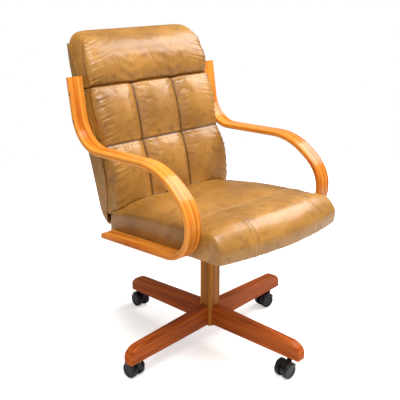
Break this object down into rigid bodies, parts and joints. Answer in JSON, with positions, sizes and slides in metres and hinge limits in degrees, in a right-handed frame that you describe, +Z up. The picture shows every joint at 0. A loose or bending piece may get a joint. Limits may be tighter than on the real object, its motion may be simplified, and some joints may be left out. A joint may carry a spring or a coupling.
{
  "type": "swivel armchair",
  "caption": "Swivel and tilt armchair with looped bent-wood arms, tufted leather seat and back, on a wooden post with splayed legs and twin-wheel casters.",
  "frame": {"origin": "on the floor, on the axis of the post", "axes": "+Z up, the sitter faces -Y, the sitter's left hand is at +X"},
  "size_m": [0.7402, 0.7611, 0.997],
  "materials": {
    "leg_wood": "satin lacquer, red-brown stain",
    "post_wood": "satin lacquer, brown stain",
    "arm_wood": "gloss lacquer, honey stain",
    "frame_wood": "bare plywood and timber",
    "leather": "semi-gloss camel upholstery",
    "steel": "bright zinc",
    "black_steel": "black stove enamel",
    "bush_plastic": "natural nylon",
    "rubber": "matte black",
    "black_plastic": "satin black"
  },
  "bodies": {
    "base": {"pedestal_post": "post_wood", "leg_left": "leg_wood", "leg_rear": "leg_wood", "leg_right": "leg_wood", "leg_front": "leg_wood", "leg_bolts": "steel", "caster_sockets": "steel", "upper_bush": "bush_plastic", "lower_bush": "bush_plastic"},
    "swivel": {"swivel_spindle": "steel", "spindle_clip": "steel", "thrust_washer": "steel", "tilt_housing": "black_steel", "tilt_pivot_pin": "steel", "pivot_clip": "steel", "tilt_bumpers": "rubber", "tension_spring": "steel"},
    "seat": {"tilt_plate": "black_steel", "plate_bolts": "steel", "tee_nuts": "steel", "tension_bolt": "steel", "spring_cup": "black_steel", "seat_board": "frame_wood", "seat_strap_front": "black_steel", "seat_strap_rear": "black_steel", "strap_screws": "steel", "seat_cushion": "leather", "arm_left": "arm_wood", "arm_right": "arm_wood", "arm_screws": "steel", "back_panel": "frame_wood", "back_rail_left": "frame_wood", "back_rail_right": "frame_wood", "back_cover": "leather", "back_cushion": "leather", "head_pillow": "leather"},
    "knob": {"tension_knob": "black_plastic"},
    "caster_left": {"caster_left_stem": "steel", "caster_left_hood": "black_plastic", "caster_left_axle": "steel"},
    "caster_left_wheel_a": {"caster_left_wheel_a": "black_plastic"},
    "caster_left_wheel_b": {"caster_left_wheel_b": "black_plastic"},
    "caster_rear": {"caster_rear_stem": "steel", "caster_rear_hood": "black_plastic", "caster_rear_axle": "steel"},
    "caster_rear_wheel_a": {"caster_rear_wheel_a": "black_plastic"},
    "caster_rear_wheel_b": {"caster_rear_wheel_b": "black_plastic"},
    "caster_right": {"caster_right_stem": "steel", "caster_right_hood": "black_plastic", "caster_right_axle": "steel"},
    "caster_right_wheel_a": {"caster_right_wheel_a": "black_plastic"},
    "caster_right_wheel_b": {"caster_right_wheel_b": "black_plastic"},
    "caster_front": {"caster_front_stem": "steel", "caster_front_hood": "black_plastic", "caster_front_axle": "steel"},
    "caster_front_wheel_a": {"caster_front_wheel_a": "black_plastic"},
    "caster_front_wheel_b": {"caster_front_wheel_b": "black_plastic"}
  },
  "joints": [
    {"name": "seat_swivel", "type": "hinge", "parent": "base", "child": "swivel", "pos_m": [0, 0, 0.328], "axis": [0, 0, 1], "continuous": true},
    {"name": "seat_tilt", "type": "hinge", "parent": "swivel", "child": "seat", "pos_m": [0, -0.03459, 0.37702], "axis": [-1, 0, 0], "range_deg": [0, 12], "stiffness_Nm_per_rad": 80, "springref_deg": -25.78, "deforming": ["tension_spring"]},
    {"name": "tension_turn", "type": "hinge", "parent": "seat", "child": "knob", "pos_m": [0, -0.08918, 0.36191], "axis": [0, 0.0906, 0.9959], "range_deg": [-900, 900]},
    {"name": "caster_left_swivel", "type": "hinge", "parent": "base", "child": "caster_left", "pos_m": [0.32376, 0.02833, 0.06], "axis": [0, 0, 1], "continuous": true},
    {"name": "caster_left_roll_a", "type": "hinge", "parent": "caster_left", "child": "caster_left_wheel_a", "pos_m": [0.30288, 0.03052, 0.025], "axis": [-0.1045, -0.9945, 0], "continuous": true},
    {"name": "caster_left_roll_b", "type": "hinge", "parent": "caster_left", "child": "caster_left_wheel_b", "pos_m": [0.30288, 0.03052, 0.025], "axis": [-0.1045, -0.9945, 0], "continuous": true},
    {"name": "caster_rear_swivel", "type": "hinge", "parent": "base", "child": "caster_rear", "pos_m": [-0.02833, 0.32376, 0.06], "axis": [0, 0, 1], "continuous": true},
    {"name": "caster_rear_roll_a", "type": "hinge", "parent": "caster_rear", "child": "caster_rear_wheel_a", "pos_m": [-0.02613, 0.34465, 0.025], "axis": [-0.9945, 0.1045, 0], "continuous": true},
    {"name": "caster_rear_roll_b", "type": "hinge", "parent": "caster_rear", "child": "caster_rear_wheel_b", "pos_m": [-0.02613, 0.34465, 0.025], "axis": [-0.9945, 0.1045, 0], "continuous": true},
    {"name": "caster_right_swivel", "type": "hinge", "parent": "base", "child": "caster_right", "pos_m": [-0.32376, -0.02833, 0.06], "axis": [0, 0, 1], "continuous": true},
    {"name": "caster_right_roll_a", "type": "hinge", "parent": "caster_right", "child": "caster_right_wheel_a", "pos_m": [-0.32596, -0.00744, 0.025], "axis": [-0.9945, -0.1045, 0], "continuous": true},
    {"name": "caster_right_roll_b", "type": "hinge", "parent": "caster_right", "child": "caster_right_wheel_b", "pos_m": [-0.32596, -0.00744, 0.025], "axis": [-0.9945, -0.1045, 0], "continuous": true},
    {"name": "caster_front_swivel", "type": "hinge", "parent": "base", "child": "caster_front", "pos_m": [0.02833, -0.32376, 0.06], "axis": [0, 0, 1], "continuous": true},
    {"name": "caster_front_roll_a", "type": "hinge", "parent": "caster_front", "child": "caster_front_wheel_a", "pos_m": [0.00733, -0.32376, 0.025], "axis": [0, -1, 0], "continuous": true},
    {"name": "caster_front_roll_b", "type": "hinge", "parent": "caster_front", "child": "caster_front_wheel_b", "pos_m": [0.00733, -0.32376, 0.025], "axis": [0, -1, 0], "continuous": true}
  ]
}
